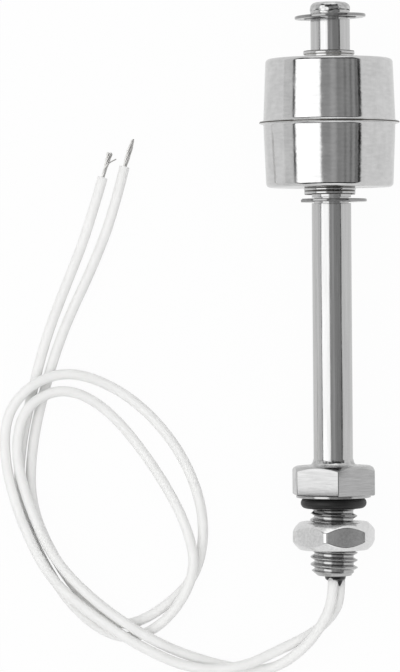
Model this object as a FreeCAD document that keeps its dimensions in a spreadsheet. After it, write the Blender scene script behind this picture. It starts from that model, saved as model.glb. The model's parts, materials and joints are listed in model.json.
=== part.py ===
import FreeCAD, Part
import math
import os
import re

import Sketcher
from FreeCAD import Placement, Rotation, Vector

# A float level switch that lies on its side: a steel stem with a ring float between two E-rings, a
# hexagonal mounting body with a threaded shank, a lock nut, and two free leads.
#
# Each piece is modelled along its own Z axis, which is the switch's axis, and is laid down by its
# Placement. Along that axis zero is the underside of the hexagon, and positive is towards the tip.
# In the finished frame +Z is up, +Y is towards the tip, and the origin is on the floor under the middle.

# Driving dimensions, in millimetres and degrees.
SIZES = {
    # stem and tip
    "stem_dia": 8.0,
    "stem_wall": 1.0,
    "cap_length": 1.7,
    "tip_dia": 8.2,
    "tip_round": 1.1,
    "spigot_length": 3.2,
    "spigot_gap": 0.02,
    # E-rings and the grooves that hold them
    "groove_dia": 7.0,
    "groove_width": 1.2,
    "clip_dia": 14.4,
    "clip_thick": 0.9,
    "clip_rim": 1.9,
    "clip_mouth": 5.84,
    "clip_tooth": 2.6,
    "clip_round": 0.7,
    "clip_slack": 0.04,
    "lower_clip_place": 59.85,
    "clip_inset": 1.2,
    "upper_clip_turn": 270.0,
    "lower_clip_turn": 180.0,
    "clip_lean": 1.6,
    # hexagonal mounting body
    "hex_flats": 15.9,
    "hex_height": 5.9,
    "hex_crown": 15.2,
    "hex_turn": 26.0,
    "crown_slope": 30.0,
    "boss_dia": 15.2,
    "boss_height": 0.5,
    "socket_depth": 4.0,
    "socket_gap": 0.02,
    "weld_leg": 0.8,
    "weld_land": 0.05,
    "neck_dia": 9.0,
    "neck_length": 2.3,
    "thread_dia": 9.8,
    "shank_reach": 16.7,
    "shank_bevel": 0.8,
    "shank_bore": 6.0,
    # O-ring
    "ring_cord": 2.0,
    "ring_gap": 0.02,
    # lock nut
    "nut_flats": 15.5,
    "nut_height": 5.6,
    "nut_place": 5.5,
    "nut_turn": 42.7,
    "nut_crown": 13.2,
    "nut_gap": 0.05,
    "nut_countersink": 0.5,
    # float
    "float_gap": 0.75,
    "float_travel": 6.55,
    "lower_cup_depth": 13.15,
    "upper_cup_depth": 13.55,
    "seam_dia": 26.8,
    "end_dia": 25.8,
    "cup_wall": 0.25,
    "cup_round": 1.0,
    "flange_reach": 0.75,
    "flange_root": 0.3,
    "float_bore": 9.4,
    "bore_wall": 0.25,
    "seat_gap": 0.02,
    "head_dia": 10.4,
    "head_height": 0.57,
    "head_neck": 0.33,
    "foot_dia": 10.5,
    "foot_height": 1.45,
    "foot_step": 0.7,
    "foot_inset": 0.2,
    "bead_bevel": 0.18,
    # magnet and its spacers
    "magnet_dia": 15.0,
    "magnet_height": 4.2,
    "magnet_drop": 0.25,
    "spacer_dia": 12.4,
    # reed switch
    "reed_rise": 6.35,
    "glass_dia": 2.2,
    "glass_length": 14.0,
    "glass_wall": 0.35,
    "glass_nose": 0.6,
    "glass_taper": 1.2,
    "glass_seal": 1.7,
    "wire_dia": 0.5,
    "blade_width": 1.1,
    "blade_thick": 0.2,
    "blade_overlap": 1.5,
    "contact_gap": 0.15,
    "joint_stand": 2.6,
    "joint_length": 2.4,
    "joint_dia": 1.5,
    # leads
    "lead_dia": 2.1,
    "core_dia": 0.9,
    "core_stub": 2.0,
    "pair_gap": 2.26,
    "pair_turn": 49.0,
    "pair_shift_x": 0.46,
    "pair_shift_y": -0.25,
    "potting_depth": 8.0,
    "potting_bulge": 0.5,
    "potting_bevel": 0.7,
    "first_run": 3.4,
    "strand_length": 5.2,
    "strand_dia": 1.0,
    "strand_flare": 1.7,
}

# Places along the axis that follow from the driving dimensions, each worked out by the sheet.
PLACES = {
    "float_bottom": "lower_clip_place + clip_thick / 2 + float_gap + foot_height",
    "seam_place": "float_bottom + lower_cup_depth",
    "float_top": "seam_place + upper_cup_depth",
    "float_head": "float_top + head_neck + head_height",
    "upper_clip_place": "float_head + float_travel + clip_thick / 2",
    "tube_end": "upper_clip_place + clip_inset",
    "tip_reach": "tube_end + cap_length",
    "magnet_place": "seam_place - magnet_drop",
    "reed_place": "seam_place + reed_rise",
}

# Other lengths worked out from the driving dimensions, as the formulas that the pieces take.
STEM_START = "(hex_height - socket_depth)"
STEM_BORE = "(stem_dia / 2 - stem_wall)"
HEX_CORNER = "(hex_flats / sqrt(3))"
NUT_CORNER = "(nut_flats / sqrt(3))"
NECK_END = "(boss_height + neck_length)"
LEAD_EXIT = "(shank_reach + potting_bulge)"
GLASS_END = "(glass_length / 2)"
FLOAT_LENGTH = "(float_top - float_bottom)"
BORE_OUTSIDE = "(float_bore / 2 + bore_wall)"
BLADE_START = "(glass_length / 2 - glass_seal - 0.7 * glass_wall)"
REED_FOOT = "(reed_place - glass_length / 2 - joint_stand)"
REED_HEAD = "(glass_length / 2 + joint_stand / 2)"

doc = FreeCAD.newDocument("float_level_switch")
sheet = doc.addObject("Spreadsheet::Sheet", "sizes")
for row, (alias, content) in enumerate([*SIZES.items(), *PLACES.items()], 1):
    sheet.set(f"A{row}", alias)
    sheet.set(f"B{row}", f"={content}")
    sheet.setAlias(f"B{row}", alias)
doc.recompute()

subparts = []


def formula(text):
    """Gives each size named in a formula the sheet's prefix."""
    names = SIZES.keys() | PLACES.keys()
    return re.sub(r"[a-z_]+", lambda word: f"sizes.{word[0]}" if word[0] in names else word[0], text)


def value(text):
    """Works a formula out as a number."""
    return float(sheet.evalExpression(text))


# Building blocks of the PartDesign bodies.


def new_body(label):
    body = doc.addObject("PartDesign::Body", label)
    body.Label = label
    subparts.append(body)
    return body


def new_sketch(body, name, role):
    sketch = body.newObject("Sketcher::SketchObject", name)
    plane = next(item for item in body.Origin.OriginFeatures if item.Role == role)
    sketch.AttachmentSupport = [(plane, "")]
    sketch.MapMode = "FlatFace"
    return sketch


def bind(sketch, constraint, text):
    index = sketch.addConstraint(constraint)
    sketch.setExpression(f"Constraints[{index}]", formula(text))


def pin_point(sketch, item, end, x, y):
    """Ties one point of a sketch to the sheet, by its distances from the sketch's origin."""
    for kind, axis, text in (("DistanceX", -2, x), ("DistanceY", -1, y)):
        if text == "0":
            sketch.addConstraint(Sketcher.Constraint("PointOnObject", item, end, axis))
        else:
            bind(sketch, Sketcher.Constraint(kind, -1, 1, item, end, value(text)), text)


def draw_outline(sketch, corners):
    """Closes straight lines through the corners."""
    points = [Vector(value(x), value(y), 0) for x, y in corners]
    count = len(points)
    first = sketch.GeometryCount
    for i in range(count):
        sketch.addGeometry(Part.LineSegment(points[i], points[(i + 1) % count]))
    for i in range(count):
        sketch.addConstraint(
            Sketcher.Constraint("Coincident", first + i, 2, first + (i + 1) % count, 1)
        )
    for i, (x, y) in enumerate(corners):
        pin_point(sketch, first + i, 1, x, y)


def draw_circle(sketch, x, y, radius):
    circle = Part.Circle(Vector(value(x), value(y), 0), Vector(0, 0, 1), value(radius))
    item = sketch.addGeometry(circle)
    pin_point(sketch, item, 3, x, y)
    bind(sketch, Sketcher.Constraint("Radius", item, value(radius)), radius)


def turned(body, name, corners, kind="Revolution"):
    """Turns an outline of radius and height pairs about the body's axis, added or cut away."""
    sketch = new_sketch(body, f"{name}_outline", "XZ_Plane")
    draw_outline(sketch, corners)
    return turn_sketch(body, name, sketch, kind)


def turn_sketch(body, name, sketch, kind="Revolution"):
    feature = body.newObject(f"PartDesign::{kind}", name)
    feature.Profile = sketch
    feature.ReferenceAxis = (sketch, ["V_Axis"])
    feature.Angle = 360
    return feature


def padded(body, name, sketch, length, both_ways=False):
    feature = body.newObject("PartDesign::Pad", name)
    feature.Profile = sketch
    feature.setExpression("Length", formula(length))
    feature.Midplane = both_ways
    return feature


def pocket_through(body, name, sketch):
    feature = body.newObject("PartDesign::Pocket", name)
    feature.Profile = sketch
    feature.Type = "ThroughAll"
    feature.Midplane = True
    return feature


def eased(body, name, edges, size, kind="Fillet"):
    """Fillets or chamfers the tip feature's edges for which the test in edges holds."""
    doc.recompute()
    base = body.Tip
    names = [f"Edge{i}" for i, edge in enumerate(base.Shape.Edges, 1) if edges(edge)]
    if not names:
        raise RuntimeError(f"{body.Label}: no edge for {name}")
    feature = body.newObject(f"PartDesign::{kind}", name)
    feature.Base = (base, names)
    feature.setExpression("Radius" if kind == "Fillet" else "Size", formula(size))
    return feature


def ring_at(radius, height):
    """A test for a full circle of this radius, at this height on the body's axis."""
    wanted = (value(radius), value(height))

    def test(edge):
        curve = edge.Curve
        if not isinstance(curve, Part.Circle):
            return False
        return math.dist((curve.Radius, curve.Center.z), wanted) < 1e-3

    return test


def hexagon(body, name, corner, height):
    sketch = new_sketch(body, f"{name}_outline", "XY_Plane")
    draw_outline(
        sketch,
        [(f"{corner} * cos({angle + 0.0})", f"{corner} * sin({angle + 0.0})") for angle in HEX_ANGLES],
    )
    return padded(body, name, sketch, height)


# A corner is set half a face round from X, because a tie of zero length has no side.
HEX_ANGLES = [15 + 60 * i for i in range(6)]
HEX_OFFSET = 15.0


def crown(body, name, corner, crown_dia, face, way):
    """Cuts a hexagon's corners back to a cone that starts at the crown's circle on one end face."""
    outside = f"({corner} + 1)"
    drop = f"({outside} - {crown_dia} / 2) * tan(crown_slope)"
    return turned(
        body,
        name,
        [
            (f"{crown_dia} / 2", face),
            (outside, face),
            (outside, f"{face} {way} {drop}"),
        ],
        "Groove",
    )


# The stem's own pieces.


def stem_tube():
    """The drawn tube, with a groove for each E-ring."""
    body = new_body("stem_tube")
    turned(
        body,
        "tube",
        [
            (STEM_BORE, STEM_START),
            ("stem_dia / 2", STEM_START),
            ("stem_dia / 2", "tube_end"),
            (STEM_BORE, "tube_end"),
        ],
    )
    for name in ("upper_clip_place", "lower_clip_place"):
        low = f"({name} - groove_width / 2)"
        high = f"({name} + groove_width / 2)"
        turned(
            body,
            name.replace("clip_place", "groove"),
            [
                ("groove_dia / 2", low),
                ("stem_dia / 2 + 1", low),
                ("stem_dia / 2 + 1", high),
                ("groove_dia / 2", high),
            ],
            "Groove",
        )
    return body


def tip_plug():
    """The turned plug that is welded into the stem's end."""
    body = new_body("tip_plug")
    turned(
        body,
        "plug",
        [
            ("0", "tube_end - spigot_length"),
            (f"{STEM_BORE} - spigot_gap", "tube_end - spigot_length"),
            (f"{STEM_BORE} - spigot_gap", "tube_end"),
            ("tip_dia / 2", "tube_end"),
            ("tip_dia / 2", "tip_reach"),
            ("0", "tip_reach"),
        ],
    )
    eased(body, "shoulder", ring_at("tip_dia / 2", "tip_reach"), "tip_round")
    return body


def hex_adapter():
    """The mounting body: hexagon, washer face, relief neck, threaded shank and weld fillet."""
    body = new_body("hex_adapter")
    hexagon(body, "hexagon", HEX_CORNER, "hex_height")
    crown(body, "crown", HEX_CORNER, "hex_crown", "hex_height", "-")
    turned(
        body,
        "shank",
        [
            ("0", "0"),
            ("boss_dia / 2", "0"),
            ("boss_dia / 2", "-boss_height"),
            ("neck_dia / 2", "-boss_height"),
            ("neck_dia / 2", f"-{NECK_END}"),
            ("thread_dia / 2", f"-({NECK_END} + (thread_dia - neck_dia) / 2)"),
            ("thread_dia / 2", "-(shank_reach - shank_bevel)"),
            ("thread_dia / 2 - shank_bevel", "-shank_reach"),
            ("0", "-shank_reach"),
        ],
    )
    weld_top = "(hex_height + weld_leg)"
    turned(
        body,
        "weld",
        [
            (f"{STEM_BORE}", "hex_height"),
            ("stem_dia / 2 + weld_leg", "hex_height"),
            ("stem_dia / 2 + weld_leg", weld_top),
            (f"{STEM_BORE}", weld_top),
        ],
    )
    hollow = new_sketch(body, "weld_hollow_outline", "XZ_Plane")
    draw_circle(
        hollow,
        "stem_dia / 2 + weld_leg + weld_land",
        f"{weld_top} + weld_land",
        "weld_leg",
    )
    turn_sketch(body, "weld_hollow", hollow, "Groove")
    turned(
        body,
        "bore",
        [
            ("0", "-shank_reach - 1"),
            ("shank_bore / 2", "-shank_reach - 1"),
            ("shank_bore / 2", STEM_START),
            ("stem_dia / 2 + socket_gap", STEM_START),
            ("stem_dia / 2 + socket_gap", f"{weld_top} + 1"),
            ("0", f"{weld_top} + 1"),
        ],
        "Groove",
    )
    return body


def o_ring():
    body = new_body("o_ring")
    sketch = new_sketch(body, "cord_section", "XZ_Plane")
    draw_circle(sketch, "neck_dia / 2 + ring_gap + ring_cord / 2", "-(boss_height + ring_cord / 2)", "ring_cord / 2")
    turn_sketch(body, "ring", sketch)
    return body


def lock_nut():
    """The thin hexagon nut, crowned on both faces, with its bore at the thread's outside."""
    body = new_body("lock_nut")
    bore = "(thread_dia / 2 + nut_gap)"
    hexagon(body, "hexagon", NUT_CORNER, "nut_height")
    crown(body, "upper_crown", NUT_CORNER, "nut_crown", "nut_height", "-")
    crown(body, "lower_crown", NUT_CORNER, "nut_crown", "0", "+")
    turned(
        body,
        "bore",
        [
            ("0", "-1"),
            (f"{bore} + nut_countersink + 1", "-1"),
            (bore, "nut_countersink"),
            (bore, "nut_height - nut_countersink"),
            (f"{bore} + nut_countersink + 1", "nut_height + 1"),
            ("0", "nut_height + 1"),
        ],
        "Groove",
    )
    return body


def clip(label):
    """A stamped E-ring: an open rim with three teeth that stand on the groove's floor."""
    body = new_body(label)
    rim = new_sketch(body, "rim_outline", "XY_Plane")
    draw_circle(rim, "0", "0", "clip_dia / 2")
    draw_circle(rim, "0", "0", "clip_dia / 2 - clip_rim")
    padded(body, "rim", rim, "clip_thick", both_ways=True)
    tooth = new_sketch(body, "tooth_outline", "XY_Plane")
    draw_outline(
        tooth,
        [
            ("-(clip_dia / 2 - clip_rim / 2)", "-clip_tooth / 2"),
            ("-(groove_dia / 4)", "-clip_tooth / 2"),
            ("-(groove_dia / 4)", "clip_tooth / 2"),
            ("-(clip_dia / 2 - clip_rim / 2)", "clip_tooth / 2"),
        ],
    )
    pad = padded(body, "tooth", tooth, "clip_thick", both_ways=True)
    teeth = body.newObject("PartDesign::PolarPattern", "teeth")
    teeth.Originals = [pad]
    teeth.Axis = (tooth, ["N_Axis"])
    teeth.Angle = 360
    teeth.Occurrences = 3
    body.Tip = teeth
    seat = new_sketch(body, "seat_outline", "XY_Plane")
    draw_circle(seat, "0", "0", "groove_dia / 2 + clip_slack")
    pocket_through(body, "seat", seat)
    mouth = new_sketch(body, "mouth_outline", "XY_Plane")
    draw_outline(
        mouth,
        [
            ("-groove_dia / 8", "-clip_mouth / 2"),
            ("clip_dia", "-clip_mouth / 2"),
            ("clip_dia", "clip_mouth / 2"),
            ("-groove_dia / 8", "clip_mouth / 2"),
        ],
    )
    pocket_through(body, "mouth", mouth)
    reach = math.sqrt(value("clip_dia^2 - clip_mouth^2")) / 2
    half = value("clip_mouth / 2")

    def horn(edge):
        ends = [vertex.Point for vertex in edge.Vertexes]
        upright = len(ends) == 2 and math.dist(ends[0][:2], ends[1][:2]) < 1e-4
        return upright and math.dist((ends[0].x, abs(ends[0].y)), (reach, half)) < 1e-3

    eased(body, "horns", horn, "clip_round")
    return body


# The float's pieces.


def float_cup(label, depth):
    """A deep-drawn cup, open side down, with the outward flange of the seam round its mouth."""
    body = new_body(label)
    turned(
        body,
        "cup",
        [
            ("seam_dia / 2 - cup_wall", "0"),
            ("seam_dia / 2 + flange_reach", "0"),
            ("seam_dia / 2 + flange_reach", "cup_wall"),
            ("seam_dia / 2", "cup_wall"),
            ("end_dia / 2", depth),
            (f"{BORE_OUTSIDE} + seat_gap", depth),
            (f"{BORE_OUTSIDE} + seat_gap", f"{depth} - cup_wall"),
            ("end_dia / 2 - cup_wall", f"{depth} - cup_wall"),
        ],
    )
    eased(body, "outer_corner", ring_at("end_dia / 2", depth), "cup_round")
    inner_corner = ring_at("end_dia / 2 - cup_wall", f"{depth} - cup_wall")
    eased(body, "inner_corner", inner_corner, "0.6 * (cup_round - cup_wall)", "Chamfer")
    eased(body, "flange_corner", ring_at("seam_dia / 2", "cup_wall"), "flange_root", "Chamfer")
    return body


def float_bore_tube():
    """The float's inner tube, with its two stacked beads at the foot and one rolled head."""
    body = new_body("float_bore_tube")
    shoulder = f"({FLOAT_LENGTH} + foot_height)"
    head = f"({shoulder} + head_neck)"
    turned(
        body,
        "tube",
        [
            ("float_bore / 2", "0"),
            ("foot_dia / 2 - foot_inset", "0"),
            ("foot_dia / 2 - foot_inset", "foot_step"),
            ("foot_dia / 2", "foot_step"),
            ("foot_dia / 2", "foot_height"),
            (BORE_OUTSIDE, "foot_height"),
            (BORE_OUTSIDE, head),
            ("head_dia / 2", head),
            ("head_dia / 2", f"{head} + head_height"),
            ("float_bore / 2", f"{head} + head_height"),
        ],
    )
    beads = [
        ring_at("foot_dia / 2 - foot_inset", "0"),
        ring_at("foot_dia / 2", "foot_step"),
        ring_at("foot_dia / 2", "foot_height"),
        ring_at("head_dia / 2", head),
        ring_at("head_dia / 2", f"{head} + head_height"),
    ]
    eased(body, "bead_edges", lambda edge: any(bead(edge) for bead in beads), "bead_bevel", "Chamfer")
    return body


def ring_of_cylinders(label, outside, inside, height):
    """A plain ring: one cylinder cut by another."""
    ring = doc.addObject("Part::Cut", label)
    ring.Label = label
    ring.Base = doc.addObject("Part::Cylinder", f"{label}_outside")
    ring.Tool = doc.addObject("Part::Cylinder", f"{label}_inside")
    for cylinder, radius in ((ring.Base, outside), (ring.Tool, inside)):
        cylinder.setExpression("Radius", formula(radius))
        cylinder.setExpression("Height", formula(height))
    subparts.append(ring)
    return ring


# The reed switch and its wiring, modelled round the reed's own axis and middle.


def reed_glass():
    body = new_body("reed_glass")
    outline = [
        ("wire_dia / 2", GLASS_END),
        ("glass_nose", GLASS_END),
        ("glass_dia / 2", f"{GLASS_END} - glass_taper"),
    ]
    cavity = [
        ("glass_dia / 2 - glass_wall", f"{GLASS_END} - glass_seal - glass_wall"),
        ("wire_dia / 2", f"{GLASS_END} - glass_seal"),
    ]

    def below(corners):
        return [(x, f"-({y})") for x, y in reversed(corners)]

    turned(body, "capsule", outline + below(outline) + below(cavity) + cavity)
    return body


def reed_blade(label, top):
    """One blade with its round wire: flat inside the glass, and the upper one hooked over outside it."""
    body = new_body(label)
    way = "" if top else "-"
    offset = f"{way}((contact_gap + blade_thick) / 2)"
    wire_end = REED_HEAD if top else f"({GLASS_END} + joint_stand)"
    turned(
        body,
        "wire",
        [
            ("0", f"{way}({BLADE_START} - 0.3)"),
            ("wire_dia / 2", f"{way}({BLADE_START} - 0.3)"),
            ("wire_dia / 2", f"{way}{wire_end}"),
            ("0", f"{way}{wire_end}"),
        ],
    )
    flat = new_sketch(body, "blade_outline", "XZ_Plane")
    near = f"{offset} - blade_thick / 2"
    far = f"{offset} + blade_thick / 2"
    tip = f"{'-' if top else ''}(blade_overlap / 2)"
    draw_outline(
        flat,
        [(near, tip), (far, tip), (far, f"{way}{BLADE_START}"), (near, f"{way}{BLADE_START}")],
    )
    padded(body, "blade", flat, "blade_width", both_ways=True)
    if top:
        hook_over(body, wire_end)
    return body


def hook_over(body, start):
    """Carries the upper wire over to the long lead, in a half circle and a short leg down."""
    path = new_sketch(body, "hook_path", "XZ_Plane")
    radius = value("pair_gap / 2")
    low = value(start)
    arc = path.addGeometry(
        Part.ArcOfCircle(
            Part.Circle(Vector(radius, low, 0), Vector(0, 0, 1), radius), 0, math.pi
        )
    )
    leg_end = f"{start} - joint_stand / 2"
    leg = path.addGeometry(
        Part.LineSegment(Vector(2 * radius, low, 0), Vector(2 * radius, value(leg_end), 0))
    )
    pin_point(path, arc, 3, "pair_gap / 2", start)
    pin_point(path, arc, 2, "0", start)
    path.addConstraint(Sketcher.Constraint("Coincident", arc, 1, leg, 1))
    path.addConstraint(Sketcher.Constraint("Vertical", leg))
    for end, height in ((1, start), (2, leg_end)):
        bind(path, Sketcher.Constraint("DistanceY", -1, 1, leg, end, value(height)), height)
    section = body.newObject("Sketcher::SketchObject", "hook_section")
    plane = next(item for item in body.Origin.OriginFeatures if item.Role == "XY_Plane")
    section.AttachmentSupport = [(plane, "")]
    section.MapMode = "FlatFace"
    section.setExpression(".AttachmentOffset.Base.z", formula(start))
    draw_circle(section, "0", "0", "wire_dia / 2")
    pipe = body.newObject("PartDesign::AdditivePipe", "hook")
    pipe.Profile = section
    pipe.Spine = (path, ["Edge1", "Edge2"])
    return pipe


def solder_joint(label):
    """A spindle of solder where a lead's core, below, butts against a reed wire, above."""
    body = new_body(label)
    turned(
        body,
        "spindle",
        [
            ("core_dia / 2", "-joint_length / 2"),
            ("joint_dia / 2", "-joint_length / 6"),
            ("joint_dia / 2", "joint_length / 6"),
            ("wire_dia / 2", "joint_length / 2"),
            ("wire_dia / 2", "0"),
            ("core_dia / 2", "0"),
        ],
    )
    return body


def inner_lead(label, top):
    """A lead's stretch inside the switch: its insulation, and the bare core at the top."""
    body = new_body(label)
    turned(
        body,
        "lead",
        [
            ("0", f"-{LEAD_EXIT}"),
            ("lead_dia / 2", f"-{LEAD_EXIT}"),
            ("lead_dia / 2", f"{top} - core_stub"),
            ("core_dia / 2", f"{top} - core_stub"),
            ("core_dia / 2", top),
            ("0", top),
        ],
    )
    return body


def potting_plug():
    """The resin that closes the shank, cast round the two leads and bulging a little from its end."""
    body = new_body("potting_plug")
    turned(
        body,
        "plug",
        [
            ("0", f"-{LEAD_EXIT}"),
            ("shank_bore / 2 - potting_bevel", f"-{LEAD_EXIT}"),
            ("shank_bore / 2", "-shank_reach"),
            ("shank_bore / 2", "-(shank_reach - potting_depth)"),
            ("0", "-(shank_reach - potting_depth)"),
        ],
    )
    holes = new_sketch(body, "lead_holes", "XY_Plane")
    for side in ("-", "+"):
        draw_circle(
            holes,
            f"pair_shift_x {side} pair_gap / 2 * cos(pair_turn)",
            f"pair_shift_y {side} pair_gap / 2 * sin(pair_turn)",
            "lead_dia / 2",
        )
    pocket_through(body, "holes", holes)
    return body


# How the switch lies: on the float's seam and on the lowest corner of the lock nut.


def lying_tilt():
    """The stem's slope, which brings the seam's rim and the nut's lowest corner onto the floor."""
    corner = value(NUT_CORNER)
    deepest = max(-math.sin(math.radians(value("nut_turn") + 60 * i)) for i in range(6))
    full_corner_end = value(f"nut_height - ({NUT_CORNER} - nut_crown / 2) * tan(crown_slope)")
    nut_contact = -value("nut_place") - full_corner_end
    rim_contact = value("seam_place - cup_wall")
    rise = value("seam_dia / 2 + flange_reach") - corner * deepest
    return math.atan2(rise, rim_contact - nut_contact)


def laid(turn=0.0, height=0.0, x=0.0, y=0.0, flipped=False, lean=0.0):
    """The Placement of a piece on the lying axis: turned about it, and at this height along it."""
    about_axis = Rotation(Vector(0, 0, 1), -turn)
    own = Rotation(Vector(1, 0, 0), 180) if flipped else Rotation()
    leaning = Rotation(Vector(0, 1, 0), lean)
    return LAY.multiply(Placement(Vector(x, y, height), leaning * about_axis * own))


TILT = lying_tilt()
LAY = Placement(Vector(0, 0, 0), Rotation(Vector(1, 0, 0), math.degrees(TILT) - 90))


def pair_place(side, height):
    """Where one lead of the pair runs: side -1 is lead a with the reed above it, +1 is lead b."""
    turn = math.radians(value("pair_turn"))
    half = side * value("pair_gap") / 2
    x = value("pair_shift_x") + half * math.cos(turn)
    y = value("pair_shift_y") + half * math.sin(turn)
    return laid(turn=-value("pair_turn"), height=height, x=x, y=y)


def build_switch():
    """Builds every piece but the free leads, each laid down on the common axis."""
    stem_tube().Placement = laid()
    tip_plug().Placement = laid()
    hex_adapter().Placement = laid(turn=value("hex_turn") + HEX_OFFSET)
    o_ring().Placement = laid()
    lock_nut().Placement = laid(turn=value("nut_turn") + HEX_OFFSET, height=-value("nut_place + nut_height"))
    clip("upper_clip").Placement = laid(
        turn=value("upper_clip_turn"), height=value("upper_clip_place"), lean=value("clip_lean")
    )
    clip("lower_clip").Placement = laid(turn=value("lower_clip_turn"), height=value("lower_clip_place"))

    seam = value("seam_place")
    float_cup("float_upper_cup", "(float_top - seam_place)").Placement = laid(height=seam)
    float_cup("float_lower_cup", "(seam_place - float_bottom)").Placement = laid(height=seam, flipped=True)
    float_bore_tube().Placement = laid(height=value("float_bottom - foot_height"))

    inside = f"{BORE_OUTSIDE} + seat_gap"
    magnet_foot = "(magnet_place - magnet_height / 2)"
    magnet_head = "(magnet_place + magnet_height / 2)"
    magnet = ring_of_cylinders("float_magnet", "magnet_dia / 2", inside, "magnet_height")
    magnet.Placement = laid(height=value(magnet_foot))
    lower = ring_of_cylinders(
        "lower_spacer", "spacer_dia / 2", inside, f"{magnet_foot} - float_bottom - cup_wall"
    )
    lower.Placement = laid(height=value("float_bottom + cup_wall"))
    upper = ring_of_cylinders(
        "upper_spacer", "spacer_dia / 2", inside, f"float_top - cup_wall - {magnet_head}"
    )
    upper.Placement = laid(height=value(magnet_head))

    reed = value("reed_place")
    reed_glass().Placement = pair_place(-1, reed)
    reed_blade("upper_blade", top=True).Placement = pair_place(-1, reed)
    reed_blade("lower_blade", top=False).Placement = pair_place(-1, reed)
    hook_end = f"(reed_place + {REED_HEAD} - joint_stand / 2)"
    solder_joint("lower_joint").Placement = pair_place(-1, value(REED_FOOT))
    solder_joint("upper_joint").Placement = pair_place(1, value(hook_end))
    inner_lead("inner_lead_a", REED_FOOT).Placement = pair_place(-1, 0)
    inner_lead("inner_lead_b", hook_end).Placement = pair_place(1, 0)
    potting_plug().Placement = laid()


def bring_to_origin():
    """Moves the laid switch so that the origin is on the floor under the middle of its box."""
    doc.recompute()
    boxes = [piece.Shape.optimalBoundingBox(False, False) for piece in subparts]
    middle = (min(box.YMin for box in boxes) + max(box.YMax for box in boxes)) / 2
    floor = min(box.ZMin for box in boxes)
    shift = Placement(Vector(0, -middle, -floor), Rotation())
    for piece in subparts:
        piece.Placement = shift.multiply(piece.Placement)
    return shift


# The free leads. Each starts straight out of the resin, and these points carry it on, in millimetres,
# in the finished frame: down to the floor, round the loop once, and on to its bare end. On the floor
# the axis is just over half a diameter up, and where one stretch lies on another it is 3.5 mm up.
LEAD_A = [
    (-1.8, -66.6, 7.9), (-5.8, -72.4, 5.2), (-12.9, -77.4, 1.7), (-22.0, -76.4, 1.1),
    (-31.0, -73.6, 1.7), (-38.6, -69.9, 4.4), (-48.3, -63.3, 3.5), (-57.0, -54.6, 3.5),
    (-62.2, -43.4, 3.5), (-65.2, -31.6, 3.3), (-62.8, -22.2, 3.5), (-54.6, -18.6, 3.3),
    (-45.6, -23.4, 1.1), (-36.4, -35.2, 1.1), (-30.0, -46.8, 1.8), (-27.8, -57.0, 4.1),
    (-34.2, -67.4, 2.1), (-43.0, -71.2, 1.1), (-52.2, -65.6, 1.1), (-59.2, -55.5, 1.1),
    (-64.4, -43.6, 1.1), (-64.2, -32.2, 1.1), (-61.8, -20.6, 1.1), (-58.6, -8.4, 1.1),
    (-54.2, 2.8, 1.1), (-50.0, 13.2, 1.1), (-46.7, 24.5, 1.1),
]
LEAD_B = [
    (0.2, -65.3, 6.2), (-4.0, -69.5, 3.6), (-11.2, -72.9, 3.0), (-18.6, -76.4, 3.9),
    (-28.4, -77.0, 2.9), (-38.6, -72.7, 3.9), (-49.4, -65.6, 3.5), (-58.2, -58.0, 3.5),
    (-64.2, -45.6, 3.4), (-67.4, -33.2, 3.0), (-66.6, -23.2, 3.2), (-59.8, -16.8, 3.7),
    (-51.4, -15.6, 2.2), (-40.0, -21.4, 1.1), (-30.6, -32.4, 1.1), (-26.0, -45.4, 1.1),
    (-27.6, -57.6, 1.1), (-35.6, -65.0, 1.1), (-43.6, -68.4, 1.1), (-51.0, -62.6, 1.1),
    (-57.2, -54.0, 1.1), (-62.0, -43.0, 1.1), (-61.8, -31.4, 1.1), (-58.8, -18.2, 1.1),
    (-54.8, -6.2, 1.1), (-48.9, 6.0, 1.1), (-44.6, 17.0, 1.1), (-42.2, 26.7, 1.1),
]
CORNER_SHARE = 0.45


def tangent_path(points):
    """Straight runs through the points, each corner an arc as large as its shorter run allows."""
    edges = []
    radii = []
    last = points[0]
    for before, corner, after in zip(points, points[1:], points[2:]):
        back = (before - corner).normalize()
        ahead = (after - corner).normalize()
        cut = CORNER_SHARE * min(before.distanceToPoint(corner), corner.distanceToPoint(after))
        half_turn = (math.pi - back.getAngle(ahead)) / 2
        radius = cut / math.tan(half_turn)
        inward = (back + ahead).normalize()
        summit = corner + inward * (radius / math.cos(half_turn) - radius)
        start = corner + back * cut
        end = corner + ahead * cut
        edges.append(Part.LineSegment(last, start).toShape())
        edges.append(Part.Arc(start, summit, end).toShape())
        radii.append(radius)
        last = end
    edges.append(Part.LineSegment(last, points[-1]).toShape())
    return Part.Wire(edges), radii


def free_lead(label, side, points, shift):
    """One lead from the resin to its stripped end, and the strands that stand out of it."""
    out = shift.multiply(pair_place(side, -value(LEAD_EXIT)))
    start = out.Base
    direction = out.Rotation.multVec(Vector(0, 0, -1))
    route = [start, start + direction * value("first_run")] + [Vector(*point) for point in points]
    path, radii = tangent_path(route)
    radius = value("lead_dia / 2")
    section = Part.Wire(Part.makeCircle(radius, start, direction))
    lead = doc.addObject("Part::Feature", label)
    lead.Label = label
    lead.Shape = path.makePipeShell([section], True, False)
    lead.Placement = Placement()
    subparts.append(lead)
    expected = math.pi * radius**2 * path.Length
    print(
        f"{label}: length {path.Length:.1f} mm, tightest arcs "
        f"{', '.join(f'{r:.1f}' for r in sorted(radii)[:4])} mm, "
        f"volume {lead.Shape.Volume:.1f} of {expected:.1f} mm3"
    )

    strands = doc.addObject("Part::Cone", label.replace("lead", "strands"))
    strands.Label = label.replace("lead", "strands")
    for name, text in (("Radius1", "strand_dia / 2"), ("Radius2", "strand_flare / 2"), ("Height", "strand_length")):
        strands.setExpression(name, formula(text))
    along = (route[-1] - route[-2]).normalize()
    strands.Placement = Placement(route[-1], Rotation(Vector(0, 0, 1), along))
    subparts.append(strands)


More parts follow.
